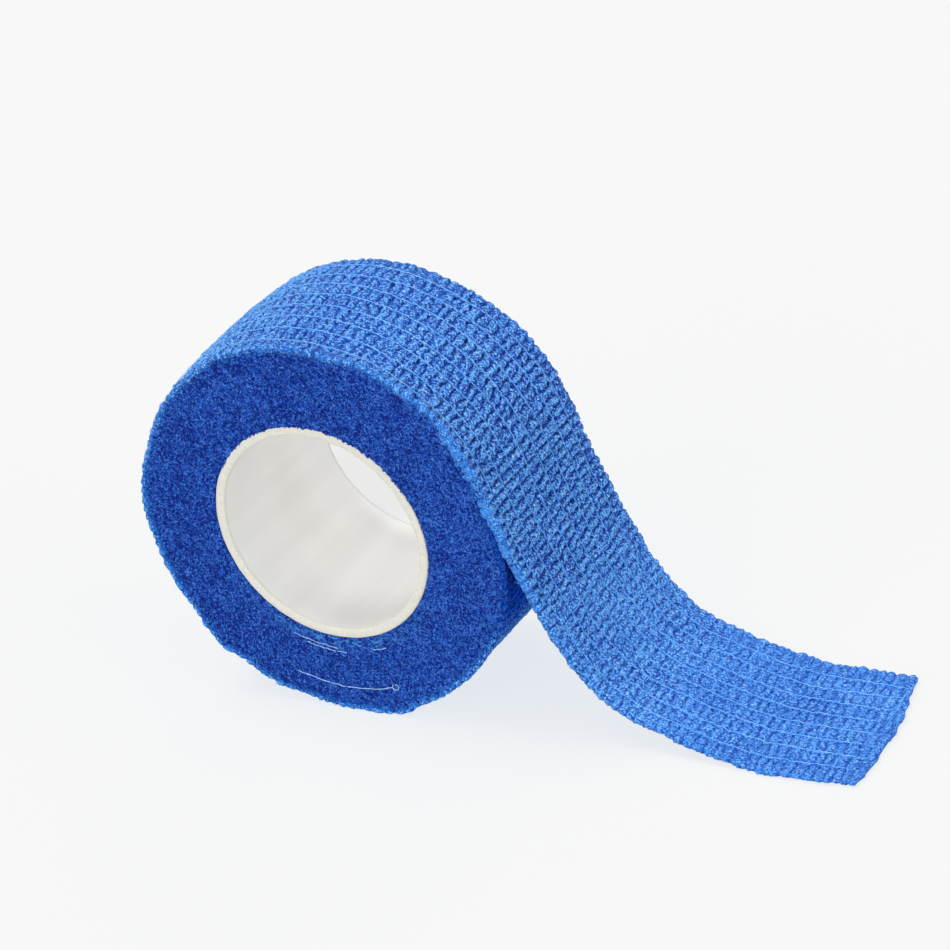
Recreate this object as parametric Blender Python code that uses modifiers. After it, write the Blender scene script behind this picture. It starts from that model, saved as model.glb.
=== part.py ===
"""Cohesive bandage roll: elastic crinkled bandage wound on an open core tube, with its loose end lying out.

Units are metres and +Z is up. The origin is the middle of the roll's flat spot, on the surface that the roll
stands on. The roll's axis lies along Y, and the loose end runs out towards +X.

The outline of the wound roll and the route of the loose end are drawn in the plane of the roll's side face,
x across and y up, and each drawing is then stood up by a quarter turn about X.
"""

import math

import bmesh
import bpy
from mathutils import Vector

# The bandage: a strip 25 mm wide, about 1 mm thick over its crinkles where nothing presses on it.
BANDAGE_WIDTH = 0.025
CLOTH_THICKNESS = 0.001

# The core: an open tube as long as the bandage is wide.
CORE_RADIUS = 0.01515
CORE_WALL = 0.00125
CORE_EDGE = 0.0002

# The wound turns, from the core out to the roll's own radius.
ROLL_RADIUS = 0.0258
FLAT_SPOT = 0.006
ROLL_EDGE = 0.0004

# The loose end leaves the roll along a tangent and touches down in one easy curve.
LEAVING_ANGLE = math.radians(15.6)
LEAVING_STIFFNESS = 0.0199
LANDING_STIFFNESS = 0.0241
LANDING_X = 0.0573

# Where it lies flat it swings slightly to the side, and its end is cut off at a slight slant.
SWING_FROM_X = 0.045
END_X = 0.0696
END_SWING = 0.0014
END_SLANT = math.radians(6.2)

# Under the loose end the roll is one layer smaller, and it closes up to its full radius over this angle.
CLOSING_ANGLE = math.radians(85)

# Room between pieces that touch.
GAP = 0.0003

# How finely round shapes are cut.
ROLL_STEPS = 144
CORE_STEPS = 96
ROUTE_STEPS = 28

AXIS_HEIGHT = math.sqrt(ROLL_RADIUS**2 - (FLAT_SPOT / 2) ** 2)
ROLL_AXIS = Vector((0, AXIS_HEIGHT))
HALF_WIDTH = BANDAGE_WIDTH / 2

BANDAGE_BLUE = (0.031, 0.133, 0.479, 1)
CORE_CREAM = (0.79, 0.77, 0.74, 1)


def clear_scene():
    for obj in list(bpy.data.objects):
        bpy.data.objects.remove(obj, do_unlink=True)


def new_collection(name):
    collection = bpy.data.collections.new(name)
    bpy.context.scene.collection.children.link(collection)
    return collection


def new_material(name, color, roughness):
    material = bpy.data.materials.new(name)
    material.use_nodes = True
    shader = material.node_tree.nodes["Principled BSDF"]
    shader.inputs["Base Color"].default_value = color
    shader.inputs["Roughness"].default_value = roughness
    shader.inputs["Metallic"].default_value = 0
    return material


def new_object(name, data, collection, material=None):
    obj = bpy.data.objects.new(name, data)
    collection.objects.link(obj)
    if material:
        data.materials.append(material)
    return obj


def stand_up(obj):
    """Turns a drawing from the XY plane into the plane of the side face, with its Y upwards."""
    obj.rotation_euler = (math.pi / 2, 0, 0)


def around_axis(angle, radius):
    """A point of the drawing at an angle round the roll's axis: 0 is towards the loose end, 90 degrees is up."""
    return ROLL_AXIS + radius * Vector((math.cos(angle), math.sin(angle)))


def core_tube(collection, material):
    """A turned tube with lightly broken edges, its axis along Y through the roll's axis."""
    outer = CORE_RADIUS
    inner = CORE_RADIUS - CORE_WALL
    end = HALF_WIDTH
    profile = [
        (outer - CORE_EDGE, end),
        (outer, end - CORE_EDGE),
        (outer, CORE_EDGE - end),
        (outer - CORE_EDGE, -end),
        (inner + CORE_EDGE, -end),
        (inner, CORE_EDGE - end),
        (inner, end - CORE_EDGE),
        (inner + CORE_EDGE, end),
    ]
    mesh = bpy.data.meshes.new("core_tube")
    shape = bmesh.new()
    corners = [shape.verts.new((radius, 0, height)) for radius, height in profile]
    for first, second in zip(corners, corners[1:] + corners[:1]):
        shape.edges.new((first, second))
    shape.to_mesh(mesh)
    shape.free()
    tube = new_object("core_tube", mesh, collection, material)
    screw = tube.modifiers.new("turn", "SCREW")
    screw.steps = CORE_STEPS
    screw.render_steps = CORE_STEPS
    screw.use_merge_vertices = True
    screw.merge_threshold = 0.00001
    tube.location = (0, 0, AXIS_HEIGHT)
    tube.rotation_euler = (math.pi / 2, 0, 0)
    return tube


def roll_radius(angle):
    """The roll's radius, counted round from the loose end: a circle that draws in under the loose end's start."""
    step = CLOTH_THICKNESS + GAP
    turned = (angle - LEAVING_ANGLE) % math.tau
    closing = max(0, (turned - (math.tau - CLOSING_ANGLE)) / CLOSING_ANGLE)
    return ROLL_RADIUS - step * closing * closing * (3 - 2 * closing)


def roll_outline():
    """One turn round the roll from where the loose end leaves it, with the bottom cut off level."""
    flat_half_angle = math.asin(FLAT_SPOT / 2 / ROLL_RADIUS)
    angles = [LEAVING_ANGLE + math.tau * step / ROLL_STEPS for step in range(ROLL_STEPS)]
    bottom = 1.5 * math.pi
    angles = [angle for angle in angles if abs(angle - bottom) > flat_half_angle * 1.2]
    angles += [bottom - flat_half_angle, bottom + flat_half_angle]
    points = [around_axis(angle, roll_radius(angle)) for angle in sorted(angles)]
    last = LEAVING_ANGLE + math.tau
    points.append(around_axis(last, ROLL_RADIUS - CLOTH_THICKNESS - GAP))
    return points


def add_closed_line(curve, points):
    line = curve.splines.new("POLY")
    line.points.add(len(points) - 1)
    for knot, point in zip(line.points, points):
        knot.co = (point.x, point.y, 0, 1)
    line.use_cyclic_u = True


def wound_roll(collection, material):
    """All the wound turns as one ring, from just off the core out to the roll's outer surface."""
    curve = bpy.data.curves.new("wound_roll", "CURVE")
    curve.dimensions = "2D"
    curve.fill_mode = "BOTH"
    curve.extrude = HALF_WIDTH - ROLL_EDGE
    curve.bevel_depth = ROLL_EDGE
    curve.offset = -ROLL_EDGE
    curve.bevel_resolution = 1
    curve.render_resolution_u = 0
    add_closed_line(curve, roll_outline())
    hole_radius = CORE_RADIUS + GAP
    turns = [math.tau * step / CORE_STEPS for step in range(CORE_STEPS)]
    add_closed_line(curve, [around_axis(-angle, hole_radius) for angle in turns])
    roll = new_object("wound_roll", curve, collection, material)
    stand_up(roll)
    return roll


def loose_end_route():
    """The upper side of the loose end as a Bezier line: off the roll on a tangent, then level to its end."""
    along = Vector((math.sin(LEAVING_ANGLE), -math.cos(LEAVING_ANGLE)))
    start = around_axis(LEAVING_ANGLE, ROLL_RADIUS) + GAP * along
    landing = Vector((LANDING_X, CLOTH_THICKNESS))
    end = Vector((END_X + HALF_WIDTH, CLOTH_THICKNESS))
    level = Vector((1, 0))
    straight = (end - landing).length / 3
    return [
        (start, start - along * LEAVING_STIFFNESS, start + along * LEAVING_STIFFNESS),
        (landing, landing - level * LANDING_STIFFNESS, landing + level * straight),
        (end, end - level * straight, end + level * straight),
    ]


def loose_end_strip():
    """The open upper surface of the loose end, as a mesh, with its sideways swing past the curve."""
    curve = bpy.data.curves.new("loose_end_route", "CURVE")
    curve.dimensions = "2D"
    curve.fill_mode = "NONE"
    curve.extrude = HALF_WIDTH
    curve.resolution_u = ROUTE_STEPS
    curve.render_resolution_u = 0
    knots = loose_end_route()
    line = curve.splines.new("BEZIER")
    line.bezier_points.add(len(knots) - 1)
    for knot, (point, left, right) in zip(line.bezier_points, knots):
        knot.handle_left_type = "FREE"
        knot.handle_right_type = "FREE"
        knot.co = (*point, 0)
        knot.handle_left = (*left, 0)
        knot.handle_right = (*right, 0)
    guide = bpy.data.objects.new("loose_end_route", curve)
    bpy.context.scene.collection.objects.link(guide)
    evaluated = guide.evaluated_get(bpy.context.evaluated_depsgraph_get())
    mesh = bpy.data.meshes.new_from_object(evaluated)
    bpy.data.objects.remove(guide, do_unlink=True)
    mesh.name = "loose_end"
    for vertex in mesh.vertices:
        past = max(0, (vertex.co.x - SWING_FROM_X) / (END_X - SWING_FROM_X))
        vertex.co.z += END_SWING * past * past
    return mesh


def end_cutter(collection):
    """A block past the cut end, turned by the slant of the cut."""
    block = 0.08
    mesh = bpy.data.meshes.new("end_cutter")
    shape = bmesh.new()
    bmesh.ops.create_cube(shape, size=block)
    shape.to_mesh(mesh)
    shape.free()
    cutter = new_object("end_cutter", mesh, collection)
    cutter.rotation_euler = (0, 0, END_SLANT)
    middle = block / 2
    cutter.location = (END_X + middle * math.cos(END_SLANT), middle * math.sin(END_SLANT), 0)
    cutter.hide_render = True
    cutter.display_type = "WIRE"
    return cutter


def loose_end(collection, cutters, material):
    """The loose end as a thick sheet, cut off at a slight slant."""
    sheet = new_object("loose_end", loose_end_strip(), collection, material)
    stand_up(sheet)
    solidify = sheet.modifiers.new("thickness", "SOLIDIFY")
    solidify.thickness = CLOTH_THICKNESS
    solidify.offset = -1
    solidify.use_even_offset = True
    cut = sheet.modifiers.new("cut_end", "BOOLEAN")
    cut.operation = "DIFFERENCE"
    cut.solver = "EXACT"
    cut.object = end_cutter(cutters)
    return sheet


def main():
    clear_scene()
    parts = new_collection("bandage_roll")
    cutters = new_collection("cutters")
    blue = new_material("bandage", BANDAGE_BLUE, 0.8)
    cream = new_material("core", CORE_CREAM, 0.6)
    core_tube(parts, cream)
    wound_roll(parts, blue)
    loose_end(parts, cutters, blue)


main()
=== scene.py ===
"""Looks of the cohesive bandage roll: crinkled cloth, elastic threads, wound edges, core tube and stage.

Run it as a script. It is laid out as an add-on: each piece has its own operator, and main() calls them in
order. Lengths are metres. Along the strip, length is counted from where the loose end leaves the roll: it
is positive down the loose end and negative back round the roll. Across the strip, y is the frame's own Y.
"""

import math

import bpy
import numpy as np
from bpy.props import FloatProperty, FloatVectorProperty, IntProperty, PointerProperty
from mathutils import Matrix, Vector


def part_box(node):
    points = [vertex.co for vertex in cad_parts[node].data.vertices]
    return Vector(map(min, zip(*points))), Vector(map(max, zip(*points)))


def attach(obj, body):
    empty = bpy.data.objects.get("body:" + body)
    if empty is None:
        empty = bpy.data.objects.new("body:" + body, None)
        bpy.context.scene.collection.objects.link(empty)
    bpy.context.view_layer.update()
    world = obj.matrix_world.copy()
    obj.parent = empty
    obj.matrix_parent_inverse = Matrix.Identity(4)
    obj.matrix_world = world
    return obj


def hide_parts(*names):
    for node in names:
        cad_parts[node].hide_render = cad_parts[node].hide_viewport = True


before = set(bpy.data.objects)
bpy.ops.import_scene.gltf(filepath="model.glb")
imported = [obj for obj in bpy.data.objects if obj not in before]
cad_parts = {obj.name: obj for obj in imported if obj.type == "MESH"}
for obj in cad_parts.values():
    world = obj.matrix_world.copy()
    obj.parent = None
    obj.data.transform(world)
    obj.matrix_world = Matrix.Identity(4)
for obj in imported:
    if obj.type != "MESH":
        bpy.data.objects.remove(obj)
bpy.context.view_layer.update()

bl_info = {
    "name": "Cohesive Bandage Roll",
    "version": (1, 0, 0),
    "blender": (4, 5, 0),
    "location": "View3D > Sidebar > Bandage",
    "description": "Crinkled self-sticking bandage on a core tube, with its loose end lying out",
    "category": "Add Mesh",
}

MM = 0.001
core_low, core_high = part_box("core_tube")
roll_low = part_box("wound_roll")[0]
HALF_WIDTH = core_high.y
AXIS_HEIGHT = (core_low.z + core_high.z) / 2
CORE_RADIUS = (core_high.x - core_low.x) / 2
ROLL_RADIUS = -roll_low.x
THREADS = 8
LIP = 5  # points down the near edge of the strip
# Middle of the painted shadow on the floor: the floor's glow is dimmed in a patch behind the roll.
SHADE_BEHIND = (-0.027, 0.042, 0)  # middle of the shaded patch on the floor
# How far the loose end has swung sideways, at even steps along it, as a share of the full swing.
SWING_SHARES = np.linspace(0, 1.1, 12)
SWING_AMOUNTS = (0, -0.12, -0.24, -0.28, -0.2, 0, 0.24, 0.55, 0.88, 1.0, 0.9, 0.85)

# Tables of pairs. Those with ROUND in the name start from degrees round the roll, and those with ALONG
# from millimetres along the strip. This one: how far the slack near rim stands off, round the roll.
NEAR_RIM = (
    (15, 0.5), (25, 0.75), (34, 1.2), (42, 1.9), (54, 1.75), (66, 1.65), (78, 0.95), (92, 0.95),
    (110, 0.85), (130, 0.4), (150, 0.25), (158, 0.2), (166, 0.65), (180, 0.95), (190, 0.5), (204, 0.65),
    (212, 0.5), (218, 0.9), (227, 1.4), (233, 0.5), (240, 0.68), (247, 0.65), (256, 0.22), (264, 0.22),
    (272, 0.32), (280, 0.75), (287, 1.15), (293, 0.6), (305, 0.52), (320, 0.6), (335, 0.9), (345, 1.05),
    (355, 0.9), (363, 0.5), (369, 0.2), (376, 0.0), (393, -0.2),
)
# How strong the crinkles are.
RELIEF_ROUND = (
    (15, 1.14), (30, 0.97), (52, 0.73), (72, 0.52), (95, 0.52), (120, 0.8), (150, 0.84), (200, 0.78),
    (330, 0.6), (355, 0.35), (380, 0.3),
)
RELIEF_ALONG = ((0, 1.18), (11, 1.0), (25, 0.56), (40, 0.5), (64, 0.46))
# How much lighter or darker the cloth is painted, region by region. On the roll this is painted light and
# shade for how the light falls: darker near the top, lighter towards the top left, where it stands for
# sheen at a grazing angle. On the loose end, lighter on the bend and towards the cut, it is partly the
# looser cloth and partly painted light.
TONE_AND_LIGHT_ROUND = (
    (15, 0), (60, 0), (85, -0.05), (98, -0.01), (110, 0.09), (120, 0.14), (150, 0.17), (180, 0.12),
)
TONE_AND_LIGHT_ALONG = ((0, -0.03), (12, 0.03), (22, 0.17), (32, 0.17), (40, 0.08), (50, 0.04), (64, 0.1))
# How strong the fine speckle of painted light and shade on the small bumps is; it also scales the painted
# crease shade and the painted glints.
CRISP_ROUND = (
    (15, 1.25), (30, 1.35), (52, 1.2), (72, 0.93), (95, 0.95), (120, 1.25), (150, 1.2), (200, 0.9),
)
CRISP_ALONG = ((0, 1.25), (10, 1.2), (22, 0.98), (32, 0.88), (40, 0.62), (64, 0.54))
# How strong the painted highlight along the rim is, round the roll: on the side face, on the cloth, and its
# fade along the end.
SIDE_RIM_HIGHLIGHT = (
    (15, 0.25), (50, 0.4), (90, 0.35), (140, 0.35), (165, 0.75), (300, 0.75), (330, 0.3), (375, 0.1),
)
RIM_HIGHLIGHT = (
    (15, 0.95), (38, 0.8), (56, 0.5), (75, 0.35), (130, 0.3), (165, 0.6), (290, 0.45), (320, 0.2),
    (390, 0.1),
)
RIM_HIGHLIGHT_FADE = ((0, 1), (30, 0.8), (60, 0.4))
# How far the middle of the width stands out, round the roll, as a share of the crown.
CROWN = (
    (15, 0.3), (50, 0.6), (70, 0.85), (90, 1.1), (110, 1.3), (130, 1.05), (150, 0.8), (200, 0.6),
    (240, 0.3), (300, 0.3), (330, 0.5), (348, 0.35), (365, -0.2), (395, -0.3),
)
# How thick the curled near edge is, as a share of the hem.
HEM_ROUND = ((15, 1.0), (36, 0.8), (52, 0.45), (70, 0.25), (200, 0.2), (360, 0.2))
HEM_ALONG = ((0, 1.0), (18, 1.0), (34, 0.6), (50, 0.35), (64, 0.15))
# How pale the elastic threads are, and how deep they lie along the strip.
THREAD_ROUND = (
    (15, 0.3), (45, 0.6), (75, 0.6), (95, 0.45), (120, 0.35), (180, 0.6), (290, 0.3), (300, 0),
)
THREAD_ALONG = ((0, 0.3), (18, 0.15), (34, 0.4), (60, 0.5))
THREAD_SUNK = ((-30, 0), (-8, 0.05), (4, 0.12), (20, 0.12), (34, 0.02), (40, 0.02))
# In millimetres along the end: how far its near edge is drawn in, and its height over its plain route.
NEAR_DRAWN_IN = (
    (0, 0.1), (12, 0.8), (24, 1.15), (30, 0.65), (37, 0.95), (44, 0.45), (48, 0.6), (53, 0.2),
    (64, 0.45), (70, 0.5),
)
ROUTE_WAVES = (
    (0, 0), (6, 0.1), (12, 0.45), (17, 0.55), (23, 0.4), (29, 0.3), (33, 0.5), (38, 0.9), (42, 0.75),
    (46, 0.4), (50, 0.05), (53, 0),
)


# ---------------------------------------------------------------- what a user would change


def length(name, default_mm, description):
    return FloatProperty(
        name=name, description=description, default=default_mm * MM, unit="LENGTH", precision=5
    )


def angle(name, default_degrees, description):
    return FloatProperty(
        name=name, description=description, default=math.radians(default_degrees), subtype="ANGLE"
    )


def colour(name, default, description):
    return FloatVectorProperty(
        name=name, description=description, default=default, subtype="COLOR", size=3, min=0, max=1
    )


class RollShape(bpy.types.PropertyGroup):
    """Sizes of the roll and of the route that its loose end takes."""

    leaving_angle: angle("Leaving angle", 15.6, "Where the loose end leaves the roll, above the level")
    leaving_reach: length("Leaving reach", 19.9, "How far the loose end holds its first direction")
    landing_reach: length("Landing reach", 24.1, "How far ahead of the landing it is already level")
    landing_x: length("Landing", 57.3, "Where the loose end starts to lie flat")
    end_x: length("Cut end", 69.1, "Middle of the cut end")
    end_slant: angle("Slant of the cut", 4.3, "How far the cut is from square")
    end_bulge: length("Bulge of the cut", 1.3, "How far the cut stands out in its middle")
    end_swing: length("Swing", 1.3, "How far the cut end has swung to the near side")
    cloth_depth: length("Depth of the cloth", 1.0, "Thickness over the crinkles")
    lap_angle: angle("Lap", 17, "How far the outermost turn runs on under the loose end")
    closing_angle: angle("Closing angle", 85, "Turn over which the roll draws in under the loose end")
    closing_step: length("Closing step", 0.45, "How far it draws in")
    crown: length("Crown", 0.9, "How far the middle of the width stands over the rims")
    far_rim: length("Far rim", 0.45, "How far the far rim stands off the turns under it")
    hem: length("Hem", 1.0, "How thick the curled near edge of the loose end is")
    turn_pitch: length("Turn pitch", 0.42, "Thickness of one wound turn")


class ClothShape(bpy.types.PropertyGroup):
    """Sizes of the crinkled cloth."""

    sheet: length("Sheet", 0.4, "Thickness of the cloth itself")
    pucker_pitch: length("Pucker pitch", 1.34, "Length of one pucker between two creases")
    pucker_height: length("Pucker height", 0.39, "Rise of a pucker over its creases")
    crease_depth: length("Crease depth", 0.44, "How far a crease cuts in")
    crease_width: length("Crease width", 0.165, "Half width of a crease")
    pit_depth: length("Pit depth", 0.72, "Depth of the pits where a crease meets a thread")
    lump_height: length("Lump height", 0.14, "Rise of the lumps on a pucker")
    lump_size: length("Lump size", 0.74, "Spacing of the lumps")
    raggedness: length("Raggedness", 0.19, "How far the creases stray from straight lines")
    thread_level: length("Thread level", 0.10, "Height of the threads over the middle of the cloth")
    edge_scallop: length("Edge scallop", 0.34, "How far the edges are drawn in at a crease")
    thread_pitch_roll: length("Thread pitch on the roll", 2.886, "Spacing of the elastic threads")
    thread_pitch_end: length("Thread pitch at the end", 2.68, "Spacing where nothing stretches the cloth")
    thread_radius: length("Thread radius", 0.040, "Radius of an elastic thread")
    seed: IntProperty(name="Seed", description="Seed of the crinkles", default=11, min=0)


class RollColours(bpy.types.PropertyGroup):
    """Colours of the cloth, the threads and the core."""

    # Crest, middle and hollow are painted light and shade: pale on the tops of the puckers, deep where
    # shade falls in the creases.
    crest: colour("Crest", (0.104, 0.41, 0.92), "Cloth on top of the puckers")
    middle: colour("Middle", (0.022, 0.165, 0.67), "Cloth on the sides of the puckers")
    hollow: colour("Hollow", (0.0010, 0.022, 0.27), "Cloth in the creases")
    # Fleck is the colour of the pale fibres and also of the painted glints and painted sheen.
    fleck: colour("Fleck", (0.58, 0.85, 1.0), "Pale fibres that catch the light")
    # Under is painted shade: the roll's cloth where the loose end shades it.
    under: colour("Under", (0.006, 0.125, 0.95), "Cloth of the roll that lies in the loose end's shade")
    # Rim is a painted highlight on the curled edge, where it catches the light; the side fibres take this
    # colour too.
    rim: colour("Rim", (0.040, 0.31, 0.95), "Curled edge of the outermost turn")
    # Side deep is painted shade in the hollows between the wound edges.
    side_deep: colour("Side deep", (0.0010, 0.014, 0.19), "Hollows between the wound edges")
    side_middle: colour("Side middle", (0.0088, 0.073, 0.455), "Wound edges")
    # Side fibre covers pale fibre ends and painted glints on the side faces.
    side_fibre: colour("Side fibre", (0.125, 0.34, 0.86), "Fibres on the wound edges")
    thread: colour("Thread", (0.36, 0.68, 1.0), "Elastic threads")
    stray: colour("Stray", (0.37, 0.57, 0.93), "Stray filaments on the side face")
    core: colour("Core", (0.85, 0.83, 0.805), "Bore of the core")
    core_rim: colour("Core rim", (0.62, 0.60, 0.53), "Cut rim of the core")
    floor: colour("Floor", (0.11, 0.09, 0.06), "Floor in the shade")
    floor_glow: colour("Floor glow", (0.7465, 0.7815, 0.834), "Light that comes up through the floor")


def settings():
    scene = bpy.context.scene
    return scene.bandage_shape, scene.bandage_cloth, scene.bandage_colours


# ---------------------------------------------------------------- repeatable noise


def hashed(column, row, seed):
    """A repeatable number from 0 to 1 for each whole column and row."""
    spread_x, spread_y, spread_seed, mix = 374761393, 668265263, 974634777, 1274126177
    with np.errstate(over="ignore"):
        x = np.asarray(column).astype(np.int64).astype(np.uint32)
        y = np.asarray(row).astype(np.int64).astype(np.uint32)
        mixed = x * np.uint32(spread_x) + y * np.uint32(spread_y)
        mixed = mixed + np.uint32(seed * spread_seed % 2**32)
        mixed = (mixed ^ (mixed >> np.uint32(13))) * np.uint32(mix)
        mixed = (mixed ^ (mixed >> np.uint32(15))) * np.uint32(spread_y)
        mixed = mixed ^ (mixed >> np.uint32(16))
    return mixed.astype(float) / 2**32


def noise(x, y, seed):
    """Smooth gradient noise, about -1 to 1, with one cell for each unit of x and y."""
    x, y = np.broadcast_arrays(np.asarray(x, float), np.asarray(y, float))
    left, low = np.floor(x), np.floor(y)
    across, up = x - left, y - low
    ease_x = across**3 * (across * (across * 6 - 15) + 10)
    ease_y = up**3 * (up * (up * 6 - 15) + 10)
    total = np.zeros_like(x)
    for step_x in (0, 1):
        for step_y in (0, 1):
            turn = math.tau * hashed(left + step_x, low + step_y, seed)
            ramp = np.cos(turn) * (across - step_x) + np.sin(turn) * (up - step_y)
            weight_x = ease_x if step_x else 1 - ease_x
            weight_y = ease_y if step_y else 1 - ease_y
            total += weight_x * weight_y * ramp
    return total * 1.45


def smooth_step(value):
    """Eases from 0 to 1 as the value goes from 0 to 1."""
    value = np.clip(value, 0, 1)
    return value * value * (3 - 2 * value)


def hump(value, middle, width):
    """1 at the middle, falling off to 0 over about two widths."""
    return np.exp(-(((value - middle) / width) ** 2))


def looked_up(value, pairs):
    """The height that a table of pairs gives for each value, eased between its places."""
    places, heights = np.array(pairs, float).T
    index = np.clip(np.searchsorted(places, value) - 1, 0, len(places) - 2)
    share_on = (value - places[index]) / (places[index + 1] - places[index])
    return heights[index] + (heights[index + 1] - heights[index]) * smooth_step(share_on)


def cobbles(x, y, seed):
    """Rounded lumps, one to each unit of x and y: 0 between them, 1 on top, and a number for each."""
    x, y = np.broadcast_arrays(np.asarray(x, float), np.asarray(y, float))
    left, low = np.floor(x), np.floor(y)
    nearest = np.full(x.shape, 9.0)
    own = np.zeros(x.shape)
    for step_x in (-1, 0, 1):
        for step_y in (-1, 0, 1):
            column, row = left + step_x, low + step_y
            middle_x = column + 0.5 + 0.8 * (hashed(column, row, seed) - 0.5)
            middle_y = row + 0.5 + 0.8 * (hashed(column, row, seed + 301) - 0.5)
            gap = (x - middle_x) ** 2 + (y - middle_y) ** 2
            own = np.where(gap < nearest, hashed(column, row, seed + 602), own)
            nearest = np.minimum(nearest, gap)
    return np.clip(1 - nearest / 0.5, 0, 1), own


def round_axis(radius, around, y):
    """Points at a radius and an angle round the roll's axis."""
    radius, around, y = np.broadcast_arrays(radius, around, y)
    return np.stack([radius * np.cos(around), y, AXIS_HEIGHT + radius * np.sin(around)], -1)


# ---------------------------------------------------------------- the strip's route


def drawn_in(turned, shape):
    """How far the outermost turn is drawn in, by the angle turned since the loose end left the roll."""
    start = math.tau - shape.closing_angle
    return shape.closing_step * smooth_step((turned - start) / shape.closing_angle)


class Route:
    """The middle surface of the outermost turn and of the loose end."""

    def __init__(self, shape):
        self.shape = shape
        self.radius = ROLL_RADIUS - shape.cloth_depth / 2
        self.leaving = shape.leaving_angle
        leave = np.array([math.sin(self.leaving), -math.cos(self.leaving)])
        out = np.array([math.cos(self.leaving), math.sin(self.leaving)])
        start = np.array([0, AXIS_HEIGHT]) + ROLL_RADIUS * out
        landing = np.array([shape.landing_x, shape.cloth_depth])
        t = np.linspace(0, 1, 600)[:, None]
        held = start + leave * shape.leaving_reach
        ahead = landing - np.array([shape.landing_reach, 0])
        curve = (1 - t) ** 3 * start + 3 * (1 - t) ** 2 * t * held
        curve = curve + 3 * (1 - t) * t**2 * ahead + t**3 * landing
        beyond = landing + np.array([1, 0]) * np.linspace(0, 0.03, 40)[1:, None]
        top = np.concatenate([curve, beyond])
        tangent = np.gradient(top, axis=0)
        tangent /= np.linalg.norm(tangent, axis=1)[:, None]
        self.normals = np.stack([-tangent[:, 1], tangent[:, 0]], 1)
        self.points = top - self.normals * shape.cloth_depth / 2
        steps = np.linalg.norm(np.diff(self.points, axis=0), axis=1)
        self.lengths = np.concatenate([[0], np.cumsum(steps)])

    def turned(self, along):
        """The angle turned back round the roll, from 0 at the loose end."""
        return np.maximum(0, -along) / self.radius

    def degrees(self, along):
        """The angle round the roll in degrees. The loose end keeps the angle at which it leaves."""
        return np.degrees(self.leaving + self.turned(along))

    def by_place(self, along, on_roll, on_end):
        """What one table gives by the angle on the roll, and another by the length on the loose end."""
        given = looked_up(self.degrees(along), on_roll)
        return np.where(along < 0, given, looked_up(along / MM, on_end))

    def base(self, along):
        """The place in the XZ plane and the outward normal at each length along the strip."""
        turned = self.turned(along)
        around = self.leaving + turned
        out = np.stack([np.cos(around), np.sin(around)], -1)
        radius = self.radius - drawn_in(turned, self.shape)
        wound = np.array([0, AXIS_HEIGHT]) + radius[..., None] * out
        free, free_normal = (
            np.stack([np.interp(along, self.lengths, line[:, axis]) for axis in (0, 1)], -1)
            for line in (self.points, self.normals)
        )
        on_roll = (along < 0)[..., None]
        return np.where(on_roll, wound, free), np.where(on_roll, out, free_normal)

    def points_at(self, along, y, level):
        """Points at a length along, a place across and a height over the middle surface."""
        place, normal = self.base(along)
        x = place[..., 0] + level * normal[..., 0]
        z = place[..., 1] + level * normal[..., 1]
        return np.stack([x, y - self.swing(along), z], -1)

    def length_at(self, x):
        """The length along the strip at which the loose end reaches x."""
        return float(np.interp(x, self.points[:, 0], self.lengths))

    def swing(self, along):
        """How far the loose end has swung towards -Y. It leans the other way before it comes down."""
        past = np.clip(along / self.length_at(self.shape.end_x), 0, 1.1)
        return self.shape.end_swing * np.interp(past, SWING_SHARES, SWING_AMOUNTS)

    def narrowing(self, along):
        """How far the near edge of the loose end is drawn in."""
        return looked_up(along / MM, NEAR_DRAWN_IN) * MM

    def far_narrowing(self, along):
        """How far the far edge is drawn in, only where the loose end leaves the roll."""
        return 0.5 * MM * hump(along / MM, 3, 6)

    def body(self, along, y):
        """How far the large form stands off the middle surface: crown, rims and waves."""
        around = self.degrees(along)
        across = np.clip(np.abs(y) / HALF_WIDTH, 0, 1)
        crown_fades, rims_fade, rim_width = 25 * MM, 22 * MM, 3.2 * MM
        crown = looked_up(around, CROWN) * self.shape.crown * np.clip(1 - along / crown_fades, 0, 1)
        near = smooth_step((-y - HALF_WIDTH + rim_width) / rim_width)
        near_stand = self.near_rim(around) * (0.65 * near + 0.35 * across**3)
        rims = np.where(y < 0, near_stand, self.shape.far_rim * across**3)
        rims = rims * (1 - smooth_step(along / rims_fade))
        wave = looked_up(along / MM, ROUTE_WAVES) * MM
        edge = np.exp(-np.maximum(y + HALF_WIDTH, 0) / (0.35 * MM))
        droop = 0.2 * MM * edge * smooth_step(-along / (8 * MM))
        return crown * (1 - across**2.3) + rims + wave - droop

    def near_rim(self, around):
        """How far the slack near rim stands off the turns under it, by the angle in degrees."""
        return looked_up(around, NEAR_RIM) * MM

    def outward(self, along):
        """How far the near rim bulges towards -Y, most where the roll's weight squashes it."""
        return 0.45 * MM * hump(self.degrees(along), 275, 30)

    def hem_depth(self, along):
        """How thick the curled near edge is: thick where the cloth leaves the roll, thin behind."""
        return self.shape.hem * self.by_place(along, HEM_ROUND, HEM_ALONG)


# ---------------------------------------------------------------- the crinkled cloth


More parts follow.
